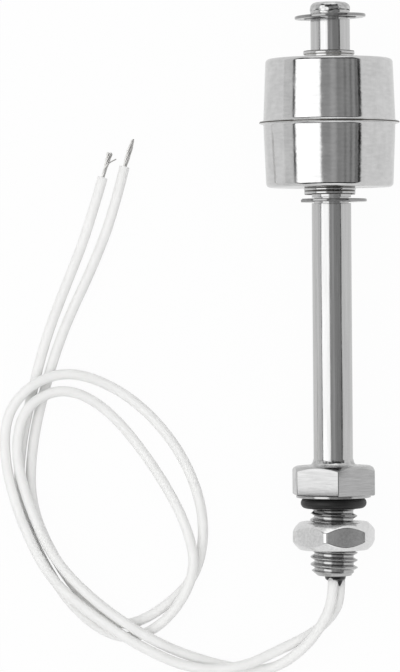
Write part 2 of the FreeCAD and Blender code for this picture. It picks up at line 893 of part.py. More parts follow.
def check_and_export():
    doc.recompute()
    for item in doc.Objects:
        if "Invalid" in item.State or "Error" in item.State:
            raise RuntimeError(f"{item.Label} failed: {item.State}")
    os.makedirs("parts", exist_ok=True)
    for piece in subparts:
        shape = piece.Shape
        if shape.isNull() or not shape.isValid() or len(shape.Solids) != 1:
            raise RuntimeError(f"{piece.Label} isn't one valid solid")
    for piece in subparts:
        piece.Shape.exportStep(f"parts/{piece.Label}.step")
        print(f"{piece.Label}: {piece.Shape.Volume:.1f} mm3")


build_switch()
origin_shift = bring_to_origin()
free_lead("lead_a", -1, LEAD_A, origin_shift)
free_lead("lead_b", 1, LEAD_B, origin_shift)
check_and_export()
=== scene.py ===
import json
import math

import bmesh
import bpy
from bpy.props import FloatProperty, FloatVectorProperty, IntProperty, PointerProperty
from mathutils import Matrix, Vector, noise


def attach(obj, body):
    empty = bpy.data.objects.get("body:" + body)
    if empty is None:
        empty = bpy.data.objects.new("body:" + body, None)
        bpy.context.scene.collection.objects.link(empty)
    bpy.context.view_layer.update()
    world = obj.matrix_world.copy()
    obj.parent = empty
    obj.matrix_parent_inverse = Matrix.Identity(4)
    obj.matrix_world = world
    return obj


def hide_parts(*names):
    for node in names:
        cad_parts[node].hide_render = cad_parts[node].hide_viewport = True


bl_info = {
    "name": "Float Level Switch",
    "version": (1, 0, 0),
    "blender": (4, 5, 0),
    "location": "View3D > Sidebar > Float Switch",
    "description": "Dresses a steel float level switch that lies on a white table",
    "category": "Object",
}

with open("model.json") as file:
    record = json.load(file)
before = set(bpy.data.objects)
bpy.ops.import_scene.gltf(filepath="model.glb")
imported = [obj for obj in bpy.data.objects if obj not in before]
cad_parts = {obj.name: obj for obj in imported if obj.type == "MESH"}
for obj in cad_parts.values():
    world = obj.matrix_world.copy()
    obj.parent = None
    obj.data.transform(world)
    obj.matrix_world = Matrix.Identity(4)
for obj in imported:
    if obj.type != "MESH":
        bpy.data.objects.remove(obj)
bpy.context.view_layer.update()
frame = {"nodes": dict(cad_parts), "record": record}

MM = 0.001
TOUCHING = 0.0005 * MM  # vertices closer than this are made one
CUT_MARGIN = 1e-7  # a vertex this near a cut counts as lying on it, in metres
MOUNTS = {mount["name"]: mount for mount in frame["record"]["mounts"]}

# The switch's own axis. Pieces are modelled along Z from the hexagon's underside, with X across and
# Y towards the table, and LAID puts them where the frame has them.
SEAT = Vector(MOUNTS["seat_face"]["pos_m"])
AXIS = -Vector(MOUNTS["seat_face"]["axis"]).normalized()
ACROSS = Vector((1, 0, 0))
LAID = Matrix.Translation(SEAT) @ Matrix((ACROSS, AXIS.cross(ACROSS), AXIS)).transposed().to_4x4()

# Places along that axis, in millimetres from the hexagon's underside.
UPPER_CLIP = 97.1
SEAM = 75.65
LOWER_CLIP = 59.85
HEXAGON_TOP = 5.9
SOCKET_FLOOR = 1.9
SHANK_END = -16.4


def linear(hex_colour):
    """Turns an sRGB hex colour into the linear colour that a socket takes."""
    parts = [int(hex_colour[i:i + 2], 16) / 255 for i in (1, 3, 5)]
    return [c / 12.92 if c <= 0.04045 else ((c + 0.055) / 1.055) ** 2.4 for c in parts] + [1.0]


# Sizes and colours that a user would change.


def length_property(name, default_mm, description):
    return FloatProperty(
        name=name, description=description, default=default_mm * MM, unit="LENGTH", precision=5
    )


def colour_property(name, hex_colour, description):
    return FloatVectorProperty(
        name=name, description=description, default=linear(hex_colour), subtype="COLOR", size=4, min=0, max=1
    )


class SwitchSizes(bpy.types.PropertyGroup):
    """Sizes of the pieces that are made here rather than taken from the frame."""

    stem: length_property("Stem", 8.0, "Diameter of the stem")
    seam: length_property("Float seam", 26.8, "Diameter of the float beside its seam")
    float_end: length_property("Float ends", 25.8, "Diameter of the float at its two ends")
    flange: length_property("Seam flange", 28.3, "Diameter of the seam's flange")
    hex_flats: length_property("Hexagon", 15.9, "Across the flats of the mounting body's hexagon")
    nut_flats: length_property("Lock nut", 15.5, "Across the flats of the lock nut")
    thread: length_property("Thread", 9.6, "Diameter across the thread's crests")
    pitch: length_property("Thread pitch", 1.5, "From one crest of the thread to the next")
    lead: length_property("Lead", 2.1, "Outside of a lead's insulation")
    strand: length_property("Strand", 0.4, "Diameter of one strand of a lead's bare end")
    steps: IntProperty(
        name="Steps", description="Faces round each turned piece", default=144, min=24, max=288
    )


class SwitchColours(bpy.types.PropertyGroup):
    """Colours of the finishes."""

    steel: colour_property("Stainless steel", "#cfcfcf", "Polished stainless steel")
    turned: colour_property("Turned steel", "#b5b5b5", "Turned and milled stainless steel")
    rubber: colour_property("Seal rubber", "#141414", "The O-ring")
    insulation: colour_property("Insulation", "#ebebea", "The leads' silicone")
    copper: colour_property("Tinned copper", "#efeeec", "The strands of the leads' bare ends")
    resin: colour_property("Resin", "#151517", "The potting that closes the shank")
    table: colour_property("Table", "#dcdcdc", "The table")


# Materials. Buffing marks, turning marks and grain are far too fine to show on real steel, plastic and
# rubber, so each pattern's size in millimetres is as coarse as it has to be to show.


def add_node(tree, kind, inputs=None, **settings):
    """Adds a node with its settings, and gives each named input a value or another node's output."""
    node = tree.nodes.new(kind)
    for name, setting in settings.items():
        setattr(node, name, setting)
    for key, source in (inputs or {}).items():
        if isinstance(source, bpy.types.NodeSocket):
            tree.links.new(source, node.inputs[key])
        else:
            node.inputs[key].default_value = source
    return node


def new_material(name, **settings):
    """A material with a Principled shader: returns it, its node tree and the shader."""
    material = bpy.data.materials.new(name)
    material.use_nodes = True
    tree = material.node_tree
    tree.nodes.clear()
    shader = add_node(
        tree, "ShaderNodeBsdfPrincipled", {key.replace("_", " "): value for key, value in settings.items()}
    )
    add_node(tree, "ShaderNodeOutputMaterial", {"Surface": shader.outputs["BSDF"]})
    return material, tree, shader


EVENLY = (1, 1, 1)


def along_axis(tree, fineness):
    """Object coordinates in millimetres, turned onto the switch's axis.

    fineness says how much finer than its size a pattern is across, towards the table and lengthwise."""
    place = add_node(tree, "ShaderNodeTexCoord")
    return add_node(
        tree, "ShaderNodeMapping",
        {"Vector": place.outputs["Object"], "Rotation": LAID.to_euler(), "Scale": [MM / f for f in fineness]},
        vector_type="TEXTURE",
    ).outputs["Vector"]


def mottle(tree, place, size, detail=3.0):
    """Noise whose blotches are about this many millimetres across."""
    return add_node(
        tree, "ShaderNodeTexNoise", {"Vector": place, "Scale": 1 / size, "Detail": detail, "Roughness": 0.55}
    ).outputs["Fac"]


def ranged(tree, source, low, high):
    """Spreads noise, which keeps near its middle, over a range."""
    return add_node(
        tree, "ShaderNodeMapRange",
        {"Value": source, "From Min": 0.3, "From Max": 0.7, "To Min": low, "To Max": high},
    ).outputs["Result"]


def shaded(tree, source, colour, low, high):
    """The colour made darker or paler by noise, between two strengths."""
    strength = ranged(tree, source, low, high)
    return add_node(
        tree, "ShaderNodeVectorMath", {0: list(colour)[:3], "Scale": strength}, operation="SCALE"
    ).outputs["Vector"]


def bumped(tree, shader, height, depth):
    """Gives a shader a bump of this depth in millimetres."""
    bump = add_node(tree, "ShaderNodeBump", {"Height": height, "Strength": 1.0, "Distance": depth * MM})
    tree.links.new(bump.outputs["Normal"], shader.inputs["Normal"])


def polished_stainless(colours):
    """Stainless steel, drawn and buffed along its length: a near mirror with faint lengthwise streaks."""
    material, tree, shader = new_material("polished_stainless", Metallic=1.0)
    streaks = mottle(tree, along_axis(tree, (1, 1, 0.05)), 0.9, 4.0)
    blotches = mottle(tree, along_axis(tree, EVENLY), 3.0)
    tree.links.new(shaded(tree, streaks, colours.steel, 0.8, 0.94), shader.inputs["Base Color"])
    tree.links.new(ranged(tree, blotches, 0.12, 0.18), shader.inputs["Roughness"])
    bumped(tree, shader, streaks, 0.02)
    return material


def drawn_stainless(colours):
    """The float's cups: sheet drawn deep, with clouds and short marks across it left by the buffing mop."""
    material, tree, shader = new_material("drawn_stainless", Metallic=1.0)
    marks = mottle(tree, along_axis(tree, (0.4, 0.4, 1.5)), 0.9, 5.0)
    clouds = mottle(tree, along_axis(tree, (1, 1, 0.5)), 2.4, 4.0)
    both = add_node(tree, "ShaderNodeMix", {0: 0.5, 2: marks, 3: clouds}, data_type="FLOAT").outputs[0]
    tree.links.new(shaded(tree, both, colours.steel, 0.86, 1.1), shader.inputs["Base Color"])
    tree.links.new(ranged(tree, clouds, 0.05, 0.15), shader.inputs["Roughness"])
    bumped(tree, shader, marks, 0.018)
    return material


def painted_rim_shade(colours):
    """The narrow line beside a seam weld and at the rims: a dull dark grey of painted shade and painted
    reflection of the dark studio that the rims catch at a grazing angle, standing at the seam also for the
    flange's raw edge.
    """
    material, tree, shader = new_material("painted_rim_shade", Metallic=1.0)
    marks = mottle(tree, along_axis(tree, EVENLY), 1.2)
    # Painted shade: this dark grey stands for shade and mirrored darkness at the rims, not for the steel's
    # own colour.
    tree.links.new(shaded(tree, marks, linear("#55534f"), 0.6, 1.2), shader.inputs["Base Color"])
    tree.links.new(ranged(tree, marks, 0.25, 0.4), shader.inputs["Roughness"])
    return material


def welded_stainless(colours):
    """Steel round a weld: the bead froze in smooth blobs, with darker heat marks between them."""
    material, tree, shader = new_material("welded_stainless", Metallic=1.0)
    blobs = mottle(tree, along_axis(tree, (1, 1, 1.6)), 1.5, 2.0)
    marks = mottle(tree, along_axis(tree, (1, 1, 1.4)), 1.1)
    tree.links.new(shaded(tree, marks, colours.steel, 0.62, 1.1), shader.inputs["Base Color"])
    tree.links.new(ranged(tree, marks, 0.1, 0.2), shader.inputs["Roughness"])
    bumped(tree, shader, blobs, 0.14)
    return material


def tumbled_stainless(colours):
    """A turned nut that was tumbled smooth: softly bright, with fine grain and faint speckles."""
    material, tree, shader = new_material("tumbled_stainless", Metallic=1.0)
    grain = mottle(tree, along_axis(tree, EVENLY), 0.5, 4.0)
    tree.links.new(shaded(tree, grain, linear("#e2e2e2"), 0.88, 1.06), shader.inputs["Base Color"])
    tree.links.new(ranged(tree, grain, 0.14, 0.19), shader.inputs["Roughness"])
    bumped(tree, shader, grain, 0.002)
    return material


def turned_stainless(colours):
    """Stainless bar as it was drawn, then turned: satin, with fine marks round the axis."""
    material, tree, shader = new_material("turned_stainless", Metallic=1.0)
    marks = mottle(tree, along_axis(tree, (0.2, 0.2, 2)), 0.6, 4.0)
    blotches = mottle(tree, along_axis(tree, EVENLY), 2.2)
    tree.links.new(shaded(tree, marks, colours.turned, 0.86, 1.08), shader.inputs["Base Color"])
    tree.links.new(ranged(tree, blotches, 0.16, 0.22), shader.inputs["Roughness"])
    bumped(tree, shader, marks, 0.002)
    return material


def spring_stainless(colours):
    """Stamped spring steel: bright, with a faint grain from its strip."""
    material, tree, shader = new_material("spring_stainless", Metallic=1.0)
    grain = mottle(tree, along_axis(tree, (0.2, 2, 2)), 0.6)
    tree.links.new(shaded(tree, grain, linear("#9c9c9c"), 0.9, 1.0), shader.inputs["Base Color"])
    tree.links.new(ranged(tree, grain, 0.1, 0.16), shader.inputs["Roughness"])
    bumped(tree, shader, grain, 0.003)
    return material


def nitrile_rubber(colours):
    """Moulded nitrile rubber: black, with a soft satin sheen and a fine mould texture."""
    material, tree, shader = new_material("nitrile_rubber")
    texture = mottle(tree, along_axis(tree, EVENLY), 0.3)
    tree.links.new(shaded(tree, texture, colours.rubber, 0.8, 1.3), shader.inputs["Base Color"])
    tree.links.new(ranged(tree, texture, 0.42, 0.55), shader.inputs["Roughness"])
    bumped(tree, shader, texture, 0.004)
    return material


def white_silicone(colours):
    """Extruded silicone insulation: white and nearly matte, with light soaking in so its shades stay soft."""
    material, tree, shader = new_material(
        "white_silicone", Subsurface_Weight=0.7, Subsurface_Radius=EVENLY, Subsurface_Scale=1.6 * MM
    )
    place = along_axis(tree, EVENLY)
    tone = mottle(tree, place, 4.0)
    grain = mottle(tree, place, 0.35)
    tree.links.new(shaded(tree, tone, colours.insulation, 0.96, 1.0), shader.inputs["Base Color"])
    tree.links.new(ranged(tree, grain, 0.4, 0.52), shader.inputs["Roughness"])
    bumped(tree, shader, grain, 0.004)
    return material


def tinned_copper(colours):
    """Tinned copper strands: silvery, with duller patches where the tin is thin."""
    material, tree, shader = new_material("tinned_copper", Metallic=1.0)
    patches = mottle(tree, along_axis(tree, EVENLY), 0.6)
    tree.links.new(shaded(tree, patches, colours.copper, 0.8, 1.0), shader.inputs["Base Color"])
    tree.links.new(ranged(tree, patches, 0.4, 0.5), shader.inputs["Roughness"])
    return material


def cast_resin(colours):
    """Epoxy that was poured in and set: near black and glossy, with a slight skin."""
    material, tree, shader = new_material("cast_resin")
    skin = mottle(tree, along_axis(tree, EVENLY), 0.8)
    tree.links.new(shaded(tree, skin, colours.resin, 0.7, 1.4), shader.inputs["Base Color"])
    tree.links.new(ranged(tree, skin, 0.16, 0.34), shader.inputs["Roughness"])
    bumped(tree, shader, skin, 0.03)
    return material


def sintered_ferrite(colours):
    """Sintered ferrite: dark grey, matte and finely pitted."""
    material, tree, shader = new_material("sintered_ferrite")
    pits = mottle(tree, along_axis(tree, EVENLY), 0.25)
    tree.links.new(shaded(tree, pits, linear("#3a3a3d"), 0.8, 1.2), shader.inputs["Base Color"])
    tree.links.new(ranged(tree, pits, 0.5, 0.7), shader.inputs["Roughness"])
    bumped(tree, shader, pits, 0.02)
    return material


def moulded_nylon(colours):
    """Moulded nylon: off-white and matte, with a fine sparked texture."""
    material, tree, shader = new_material("moulded_nylon")
    texture = mottle(tree, along_axis(tree, EVENLY), 0.4)
    tree.links.new(shaded(tree, texture, linear("#dcdad2"), 0.95, 1.0), shader.inputs["Base Color"])
    tree.links.new(ranged(tree, texture, 0.45, 0.6), shader.inputs["Roughness"])
    bumped(tree, shader, texture, 0.01)
    return material


def reed_glass(colours):
    """Drawn glass tube with the green tint of reed glass, clear but for faint draw lines."""
    material, tree, shader = new_material("reed_glass", Transmission_Weight=1.0, IOR=1.5)
    lines = mottle(tree, along_axis(tree, (3, 3, 0.1)), 0.5)
    tree.links.new(shaded(tree, lines, linear("#cfe6da"), 0.97, 1.0), shader.inputs["Base Color"])
    tree.links.new(ranged(tree, lines, 0.01, 0.05), shader.inputs["Roughness"])
    return material


def plated_nickel_iron(colours):
    """Nickel iron wire, flattened and plated: warm, bright and smooth."""
    material, tree, shader = new_material("plated_nickel_iron", Metallic=1.0)
    grain = mottle(tree, along_axis(tree, (2, 2, 0.2)), 0.3)
    tree.links.new(shaded(tree, grain, linear("#cbc5b8"), 0.9, 1.0), shader.inputs["Base Color"])
    tree.links.new(ranged(tree, grain, 0.15, 0.3), shader.inputs["Roughness"])
    return material


def soft_solder(colours):
    """Tin solder as it froze: pale grey, between bright and dull."""
    material, tree, shader = new_material("soft_solder", Metallic=1.0)
    crystals = mottle(tree, along_axis(tree, EVENLY), 0.3)
    tree.links.new(shaded(tree, crystals, linear("#b9b9b7"), 0.85, 1.0), shader.inputs["Base Color"])
    tree.links.new(ranged(tree, crystals, 0.25, 0.45), shader.inputs["Roughness"])
    bumped(tree, shader, crystals, 0.01)
    return material


FINISHES = {
    "polished_stainless": polished_stainless, "turned_stainless": turned_stainless,
    "spring_stainless": spring_stainless, "nitrile_rubber": nitrile_rubber, "ferrite": sintered_ferrite,
    "foamed_spacer": moulded_nylon, "reed_glass": reed_glass, "reed_metal": plated_nickel_iron,
    "solder": soft_solder, "wire_insulation": white_silicone, "epoxy": cast_resin,
    "silicone": white_silicone, "tinned_copper": tinned_copper,
}
made = {}  # the materials so far, by the function that makes each


def finish_for(slot, maker=None):
    """The material of one of the record's slots, or of the maker that is given, made once."""
    maker = maker or FINISHES[slot]
    if maker not in made:
        made[maker] = maker(bpy.context.scene.switch_colours)
    return made[maker]


# Shapes.


def new_piece(name, mesh, slot, body, nodes=(), finish=None):
    """Adds a piece with its finish, rides it on its body and has it stand for CAD nodes."""
    piece = bpy.data.objects.new(name, mesh)
    bpy.context.scene.collection.objects.link(piece)
    mesh.materials.append(finish_for(slot, finish))
    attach(piece, body)
    if nodes:
        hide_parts(*nodes)
    return piece


def finished(bm, name, slot, body, nodes=(), sharp=32, finish=None):
    """Lays a mesh on the switch's axis and makes it a piece with smooth rounds and flat milled faces.

    A milled face is a large one with more or fewer than four corners."""
    bmesh.ops.remove_doubles(bm, verts=bm.verts, dist=TOUCHING)
    bmesh.ops.recalc_face_normals(bm, faces=bm.faces)
    bmesh.ops.transform(bm, matrix=LAID, verts=bm.verts)
    large = 4 * MM ** 2
    for face in bm.faces:
        face.smooth = face.calc_area() < large or len(face.verts) == 4
    mesh = bpy.data.meshes.new(name)
    bm.to_mesh(mesh)
    bm.free()
    mesh.set_sharp_from_angle(angle=math.radians(sharp))
    return new_piece(name, mesh, slot, body, nodes, finish)


def turned(outline, rounds=None, closed=True):
    """A mesh turned round Z from an outline of radius and height in millimetres.

    rounds gives the radius, in millimetres, that some of the outline's corners are rounded to."""
    bm = bmesh.new()
    corners = [bm.verts.new((radius * MM, 0, height * MM)) for radius, height in outline]
    for first, second in zip(corners, corners[1:] + corners[:1] if closed else corners[1:]):
        bm.edges.new((first, second))
    for number, radius in (rounds or {}).items():
        bmesh.ops.bevel(
            bm, geom=[corners[number]], offset=radius * MM, offset_type="OFFSET", segments=6,
            profile=0.5, affect="VERTICES", material=-1,
        )
    bmesh.ops.spin(
        bm, geom=bm.verts[:] + bm.edges[:], cent=(0, 0, 0), axis=(0, 0, 1), dvec=(0, 0, 0),
        angle=2 * math.pi, steps=bpy.context.scene.switch_sizes.steps, use_merge=True,
    )
    bmesh.ops.remove_doubles(bm, verts=bm.verts, dist=TOUCHING)
    return bm


def cut_off(bm, place, facing):
    """Cuts away what lies beyond a plane, and closes the cut."""
    cut = bmesh.ops.bisect_plane(
        bm, geom=bm.verts[:] + bm.edges[:] + bm.faces[:], dist=CUT_MARGIN, plane_co=place, plane_no=facing,
        clear_outer=True,
    )["geom_cut"]
    rim = [item for item in cut if isinstance(item, bmesh.types.BMEdge)]
    if rim:
        bmesh.ops.edgeloop_fill(bm, edges=rim)


def cut_flats(bm, across, corners_at, rounding=0.0):
    """Mills six flats into a turned mesh, whose first corner is this many degrees from X.

    Small flats then round each corner to a radius in millimetres, where one is given."""
    middle = (across / 2 - rounding * MM) / math.cos(math.radians(30))
    off_corner = [30] + ([24, -24, 18, -18, 12, -12, 6, -6, 0] if rounding else [])
    for side in range(6):
        for off in off_corner:
            angle = math.radians(corners_at + 60 * side + off)
            facing = Vector((math.cos(angle), math.sin(angle), 0))
            cut_off(bm, facing * (middle * math.cos(math.radians(off)) + rounding * MM), facing)


def rounded_edges(bm, size, segments=2, sharper=25, where=lambda edge: True):
    """Rounds the edges that are sharper than an angle, to a size in millimetres."""
    bmesh.ops.remove_doubles(bm, verts=bm.verts, dist=size / 7 * MM)
    bmesh.ops.recalc_face_normals(bm, faces=bm.faces)
    edges = [
        edge for edge in bm.edges
        if len(edge.link_faces) == 2 and edge.calc_face_angle() > math.radians(sharper) and where(edge)
    ]
    bmesh.ops.bevel(
        bm, geom=edges, offset=size * MM, offset_type="OFFSET", segments=segments, profile=0.5,
        affect="EDGES", material=-1, clamp_overlap=True,
    )


# The route of each lead, in millimetres: out of the resin, round the loop once, on to its bare end.
LEAD_A = [
    (-0.3, -58.6, 9.4), (-0.3, -62.0, 9.2), (-1.8, -66.6, 7.9), (-5.8, -72.4, 5.2), (-12.9, -77.4, 1.7),
    (-22.0, -76.4, 1.1), (-31.0, -73.6, 1.7), (-38.6, -69.9, 4.4), (-48.3, -63.3, 3.5), (-57.0, -54.6, 3.5),
    (-62.2, -43.4, 3.5), (-65.2, -31.6, 3.3), (-62.8, -22.2, 3.5), (-54.6, -18.6, 3.3), (-45.6, -23.4, 1.1),
    (-36.4, -35.2, 1.1), (-30.0, -46.8, 1.8), (-27.8, -57.0, 4.1), (-34.2, -67.4, 2.1), (-43.0, -71.2, 1.1),
    (-52.2, -65.6, 1.1), (-59.2, -55.5, 1.1), (-64.4, -43.6, 1.1), (-64.2, -32.2, 1.1), (-61.8, -20.6, 1.1),
    (-58.6, -8.4, 1.1), (-54.2, 2.8, 1.1), (-50.0, 13.2, 1.1), (-46.7, 24.5, 1.1),
]
LEAD_B = [
    (1.2, -58.4, 7.7), (1.2, -61.8, 7.5), (0.2, -65.3, 6.2), (-4.0, -69.5, 3.6), (-11.2, -72.9, 3.0),
    (-18.6, -76.4, 3.9), (-28.4, -77.0, 2.9), (-38.6, -72.7, 3.9), (-49.4, -65.6, 3.5), (-58.2, -58.0, 3.5),
    (-64.2, -45.6, 3.4), (-67.4, -33.2, 3.0), (-66.6, -23.2, 3.2), (-59.8, -16.8, 3.7), (-51.4, -15.6, 2.2),
    (-40.0, -21.4, 1.1), (-30.6, -32.4, 1.1), (-26.0, -45.4, 1.1), (-27.6, -57.6, 1.1), (-35.6, -65.0, 1.1),
    (-43.6, -68.4, 1.1), (-51.0, -62.6, 1.1), (-57.2, -54.0, 1.1), (-62.0, -43.0, 1.1), (-61.8, -31.4, 1.1),
    (-58.8, -18.2, 1.1), (-54.8, -6.2, 1.1), (-48.9, 6.0, 1.1), (-44.6, 17.0, 1.1), (-42.2, 26.7, 1.1),
]


def smooth_line(name, points, diameter):
    """A curve of one open NURBS spline through these points, with a round section."""
    curve = bpy.data.curves.new(name, "CURVE")
    curve.dimensions = "3D"
    spline = curve.splines.new("NURBS")
    spline.points.add(len(points) - 1)
    for point, place in zip(spline.points, points):
        point.co = (*place, 1)
    spline.order_u = 3
    spline.use_endpoint_u = True
    spline.resolution_u = 8
    curve.bevel_depth = diameter / 2
    curve.bevel_resolution = 6
    curve.use_fill_caps = True
    return curve


def strand_points(start, along, side, turn, length, reach):
    """One strand's points: it winds round the bundle at the reach that each step gives it."""
    wound = 3.2  # radians, from its root to its tip
    lift = along.cross(side)
    points = []
    for step, out in enumerate(reach):
        share = step / (len(reach) - 1)
        angle = turn + wound * share
        aside = (side * math.cos(angle) + lift * math.sin(angle)) * out
        points.append(start + along * length * share + aside)
    return points


class FLOATSWITCH_OT_camera(bpy.types.Operator):
    """Set the camera above the table, looking almost straight down"""

    bl_idname = "floatswitch.camera"
    bl_label = "Camera"

    def execute(self, context):
        distance = 0.76
        data = bpy.data.cameras.new("camera")
        data.lens = 200.4
        camera = bpy.data.objects.new("camera", data)
        context.scene.collection.objects.link(camera)
        tilt = Matrix.Rotation(math.radians(2.8), 4, "X")
        roll = Matrix.Rotation(math.radians(-0.45), 4, "Z")
        aim = Vector((-26.9, -8.9, 11.4)) * MM
        camera.matrix_world = Matrix.Translation(aim + tilt @ Vector((0, 0, distance))) @ tilt @ roll
        context.scene.camera = camera
        return {"FINISHED"}


class FLOATSWITCH_OT_leads(bpy.types.Operator):
    """Make the two free leads and the bare strands at their ends"""

    bl_idname = "floatswitch.leads"
    bl_label = "Leads"

    def execute(self, context):
        sizes = context.scene.switch_sizes
        for letter, route, length in (("a", LEAD_A, 0.294), ("b", LEAD_B, 0.304)):
            points = [Vector(point) * MM for point in route]
            curve = smooth_line(f"lead_{letter}_insulation", points, sizes.lead)
            lead = new_piece(curve.name, curve, "silicone", "stem", [f"lead_{letter}"])
            strands = self.strands(letter, points, sizes.strand)
        return {"FINISHED"}

    def strands(self, letter, points, diameter):
        """Bare tinned strands: lead a's are untwisted like a brush, and lead b's are still a neat twist."""
        along = (points[-1] - points[-2]).normalized()
        side = along.cross(Vector((0, 0, 1))).normalized()
        # In millimetres, how far the outer strands stand off the middle one from their root to their tips,
        # then each strand's length. The last number bends the bundle aside.
        bundle = {
            "a": ((0.22, 0.2, 0.2, 0.3, 0.42, 0.46), (5.7, 5.5, 5.8, 5.6, 5.4, 5.7, 5.5), 0.0),
            "b": ((0.24, 0.3, 0.36, 0.36, 0.3, 0.12), (6.2, 6.0, 6.3, 6.1, 6.4, 6.0, 6.2), 0.06),
        }
        reach, lengths, bend = bundle[letter]
        heading = (along + side * bend).normalized()
        bm = bmesh.new()
        start = points[-1] - along * 0.4 * MM
        outer = len(lengths) - 1
        for number, length in enumerate(lengths):
            turn = 2 * math.pi * number / outer
            out = [share * MM if number < outer else 0.0 for share in reach]
            route = strand_points(start, heading, side, turn, length * MM, out)
            self.take(bm, smooth_line("strand", route, diameter))
        if letter == "a":
            # One hair strays: how far along, aside and up it goes, in millimetres.
            stray = [(2.6, 0.1, 0.3), (3.4, 0.3, 0.4), (3.9, 0.7, 0.4), (4.3, 1.1, 0.3), (4.8, 1.6, 0.1)]
            up = Vector((0, 0, 1))
            route = [start + (along * a + side * b + up * c) * MM for a, b, c in stray]
            self.take(bm, smooth_line("strand", route, diameter * 0.7))
        mesh = bpy.data.meshes.new(f"bare_strands_{letter}")
        for face in bm.faces:
            face.smooth = True
        bm.to_mesh(mesh)
        bm.free()
        mesh.set_sharp_from_angle(angle=math.radians(40))
        return new_piece(mesh.name, mesh, "tinned_copper", "stem", [f"strands_{letter}"])

    def take(self, bm, line):
        """Adds a curve's tube to a mesh, and drops the curve."""
        line.resolution_u = 4
        line.bevel_resolution = 2
        holder = bpy.data.objects.new("strand", line)
        tube = bpy.data.meshes.new_from_object(holder)
        bm.from_mesh(tube)
        bpy.data.objects.remove(holder)
        bpy.data.curves.remove(line)
        bpy.data.meshes.remove(tube)


class FLOATSWITCH_OT_mounting_body(bpy.types.Operator):
    """Make the hexagon, its weld to the stem, the neck and the threaded shank"""

    bl_idname = "floatswitch.mounting_body"
    bl_label = "Mounting body"

    def execute(self, context):
        sizes = context.scene.switch_sizes
        bore, socket, washer_face, relief = 3.0, 4.02, 7.6, 4.5
        outside = sizes.hex_flats / MM / math.sqrt(3) + 0.4
        edge = HEXAGON_TOP - (outside - washer_face) * math.tan(math.radians(30))
        bm = turned(
            [(socket, SOCKET_FLOOR), (socket, HEXAGON_TOP), (washer_face, HEXAGON_TOP), (outside, edge),
             (outside, 0), (bore, 0), (bore, SOCKET_FLOOR)],
        )
        cut_flats(bm, sizes.hex_flats, -26.0)
        # The underside's outer edge is rounded more than the others.
        rounded_edges(bm, 0.3, where=lambda edge: all(
            abs(vert.co.z) < 0.01 * MM and vert.co.xy.length > 7 * MM for vert in edge.verts
        ))
        rounded_edges(bm, 0.15, where=lambda edge: edge.calc_length() > 2 * MM)
        finished(bm, "hexagon", "turned_stainless", "stem", ["hex_adapter"])

        bm = turned(
            [(4.0, 5.8), (4.0, 7.2), (4.1, 7.2), (4.2, 6.7), (4.45, 6.3), (4.85, 6.05), (5.5, 5.93),
             (5.5, 5.8)],
        )
        finished(bm, "hexagon_weld", "turned_stainless", "stem", finish=welded_stainless)

        root = sizes.thread / MM / 2 - 0.8
        bm = turned(
            [(washer_face, 0), (washer_face, -0.5), (relief, -0.5), (relief, -2.8), (root, -3.2),
             (root, SHANK_END + 0.62), (3.3, SHANK_END), (2.9, SHANK_END), (2.9, 0)],
            {0: 0.05, 1: 0.12, 6: 0.12},
        )
        finished(bm, "shank", "turned_stainless", "stem", ["hex_adapter"])
        self.thread(sizes, root)
        return {"FINISHED"}

    def thread(self, sizes, root):
        """A rounded thread ridge wound round the shank, run out at the neck and bevelled at its end."""
        crest = sizes.thread / MM / 2
        pitch = sizes.pitch / MM
        steps_a_turn, sunk = 48, 0.1
        bm = bmesh.new()
        outline = [
            (root - sunk, -0.62), (root, -0.56), (root + 0.55, -0.24), (crest - 0.06, -0.15), (crest, -0.07),
            (crest, 0.07), (crest - 0.06, 0.15), (root + 0.55, 0.24), (root, 0.56), (root - sunk, 0.62),
        ]
        low, high, neck = SHANK_END - pitch, -3.3, -3.1
        begun = 0.4  # radians from X, where the ridge begins
        corners = [bm.verts.new((radius * MM, 0, (low + height) * MM)) for radius, height in outline]
        for first, second in zip(corners, corners[1:] + corners[:1]):
            bm.edges.new((first, second))
        steps = int((high - low) / pitch * steps_a_turn)
        start = bmesh.ops.contextual_create(bm, geom=bm.edges[:])["faces"]
        bmesh.ops.spin(
            bm, geom=start, cent=(0, 0, 0), axis=(0, 0, 1), dvec=(0, 0, pitch * MM / steps_a_turn),
            angle=-2 * math.pi * steps / steps_a_turn, steps=steps,
        )
        bmesh.ops.rotate(bm, verts=bm.verts, cent=(0, 0, 0), matrix=Matrix.Rotation(begun, 3, "Z"))
        for vert in bm.verts:
            height = vert.co.z / MM
            radius = vert.co.xy.length / MM
            bevel = 3.32 + max(0, height - SHANK_END) * 1.13
            run_out = root + max(0, neck - height) * 1.2
            limit = min(crest, bevel, run_out)
            if radius < root + 0.01:
                limit -= sunk
            if radius > limit:
                vert.co.xy *= limit / radius
        cut_off(bm, Vector((0, 0, (SHANK_END + 0.02) * MM)), Vector((0, 0, -1)))
        finished(bm, "shank_thread", "turned_stainless", "stem", sharp=50)


class FLOATSWITCH_OT_lock_nut(bpy.types.Operator):
    """Make the lock nut, with its corners turned back at both ends"""

    bl_idname = "floatswitch.lock_nut"
    bl_label = "Lock nut"

    def execute(self, context):
        sizes = context.scene.switch_sizes
        low, high = -11.1, -5.5
        bore, lead_in, face = 4.95, 0.5, 6.95
        outside = sizes.nut_flats / MM / math.sqrt(3) + 0.3
        drop = outside - face
        bm = turned(
            [(bore, low + lead_in), (bore, high - lead_in), (bore + lead_in, high), (face, high),
             (outside, high - drop), (outside, low + drop), (face, low), (bore + lead_in, low)],
        )
        cut_flats(bm, sizes.nut_flats, -42.7, 1.3)
        rounded_edges(bm, 0.3, 3, where=lambda edge: all(vert.co.xy.length > 6.6 * MM for vert in edge.verts))
        finished(bm, "lock_nut_body", "turned_stainless", "nut", ["lock_nut"], finish=tumbled_stainless)
        return {"FINISHED"}


